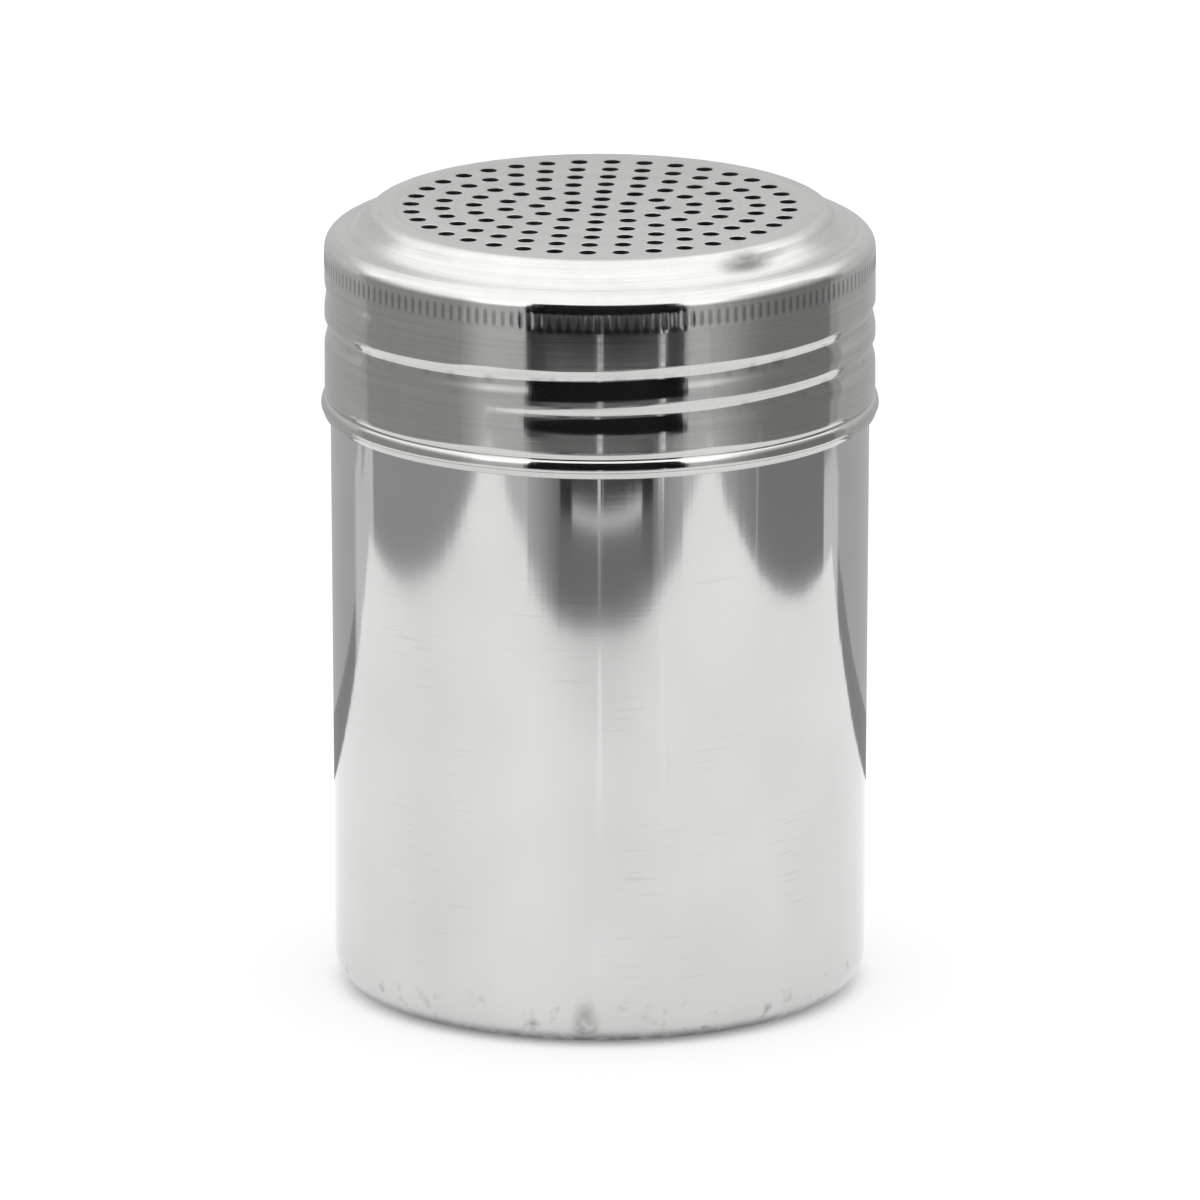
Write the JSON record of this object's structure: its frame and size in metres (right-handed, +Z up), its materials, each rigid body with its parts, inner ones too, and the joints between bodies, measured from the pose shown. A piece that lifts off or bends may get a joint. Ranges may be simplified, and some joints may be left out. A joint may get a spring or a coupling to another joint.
{
  "type": "sugar dredger",
  "caption": "Polished stainless steel sugar dredger: a tall round cup with rounded lower edge and a perforated ogee-shouldered lid that screws on over its neck.",
  "frame": {"origin": "centre of the base, on the surface the dredger stands on", "axes": "+Z up along the axis of the cup and of the lid's thread, -Y towards the viewer of the picture"},
  "size_m": [0.07, 0.07, 0.1],
  "materials": {
    "cup_steel": "mirror polished, with faint lines round the wall",
    "lid_steel": "mirror polished wall, satin perforated top"
  },
  "bodies": {
    "cup": {"cup": "cup_steel"},
    "lid_hem": {"lid_hem": "lid_steel"},
    "lid": {"lid": "lid_steel"}
  },
  "joints": [
    {"name": "lid_rise", "type": "slide", "parent": "cup", "child": "lid_hem", "axis": [0, 0, 1], "range_m": [0, 0.0076]},
    {"name": "lid_turn", "type": "hinge", "parent": "lid_hem", "child": "lid", "pos_m": [0, 0, 0.0737], "axis": [0, 0, 1], "range_deg": [0, 600]}
  ],
  "couplings": [
    {"joint": "lid_rise", "follows": "lid_turn", "m_per_rad": 0.00072415}
  ]
}
